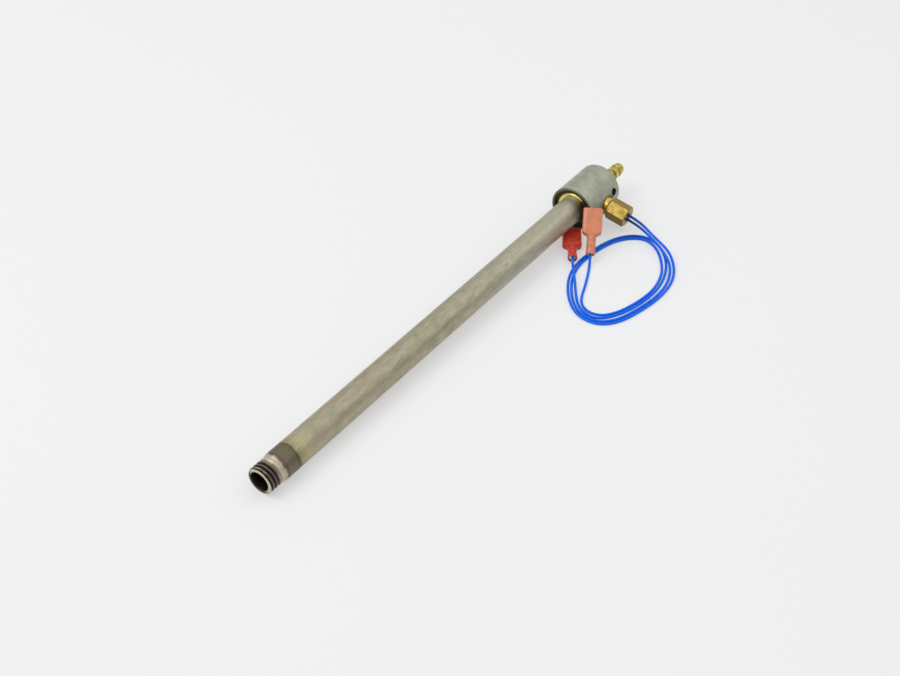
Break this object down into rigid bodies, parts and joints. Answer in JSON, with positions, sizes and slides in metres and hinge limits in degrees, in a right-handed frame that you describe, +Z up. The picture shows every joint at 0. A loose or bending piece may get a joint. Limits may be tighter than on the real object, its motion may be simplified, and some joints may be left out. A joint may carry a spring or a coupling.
{
  "type": "hot-air igniter element",
  "caption": "Electric hot-air igniter: a threaded steel pipe with a ceramic heater inside, a round steel housing, a brass side gland with blue leads to push-on terminals, and an air nipple.",
  "frame": {"origin": "bottom centre of the box of the rigid assembly without its leads and terminals, on the surface that it lies on", "axes": "+X from the outlet towards the air nipple, along the pipe as it lies; +Z up; the gland and its leads are towards -Y"},
  "size_m": [0.283, 0.0789, 0.0246],
  "materials": {
    "pipe_steel": "satin, heat-tinted near the outlet",
    "housing_steel": "satin, grey-green plating",
    "brass": "machined",
    "seal": "matte",
    "rubber": "matte",
    "spring_steel": "dark",
    "heater_ceramic": "matte, fired",
    "heating_alloy": "oxidised",
    "nickel": "satin",
    "wire_insulation": "semi-gloss",
    "terminal_nylon": "translucent nylon",
    "tinned_brass": "tinned"
  },
  "bodies": {
    "root": {"sheath_pipe": "pipe_steel", "housing": "housing_steel", "pipe_bushing": "brass", "bushing_seal": "seal", "gland_body": "brass", "gland_nut": "brass", "gland_grommet": "rubber", "inlet_nipple": "brass", "nipple_seal": "seal", "retaining_ring": "spring_steel", "front_spacer": "heater_ceramic", "ceramic_core": "heater_ceramic", "heating_coil": "heating_alloy", "ceramic_liner": "heater_ceramic", "rear_spacer": "heater_ceramic", "lead_insulator": "heater_ceramic", "insulator_support": "heater_ceramic", "lead_rod_a": "nickel", "lead_rod_b": "nickel", "splice_a": "nickel", "splice_b": "nickel", "lead_tail_a": "wire_insulation", "lead_tail_b": "wire_insulation", "lead_wire_a": "wire_insulation", "lead_wire_b": "wire_insulation", "terminal_sleeve_a": "terminal_nylon", "terminal_sleeve_b": "terminal_nylon", "terminal_contact_a": "tinned_brass", "terminal_contact_b": "tinned_brass"}
  },
  "joints": []
}
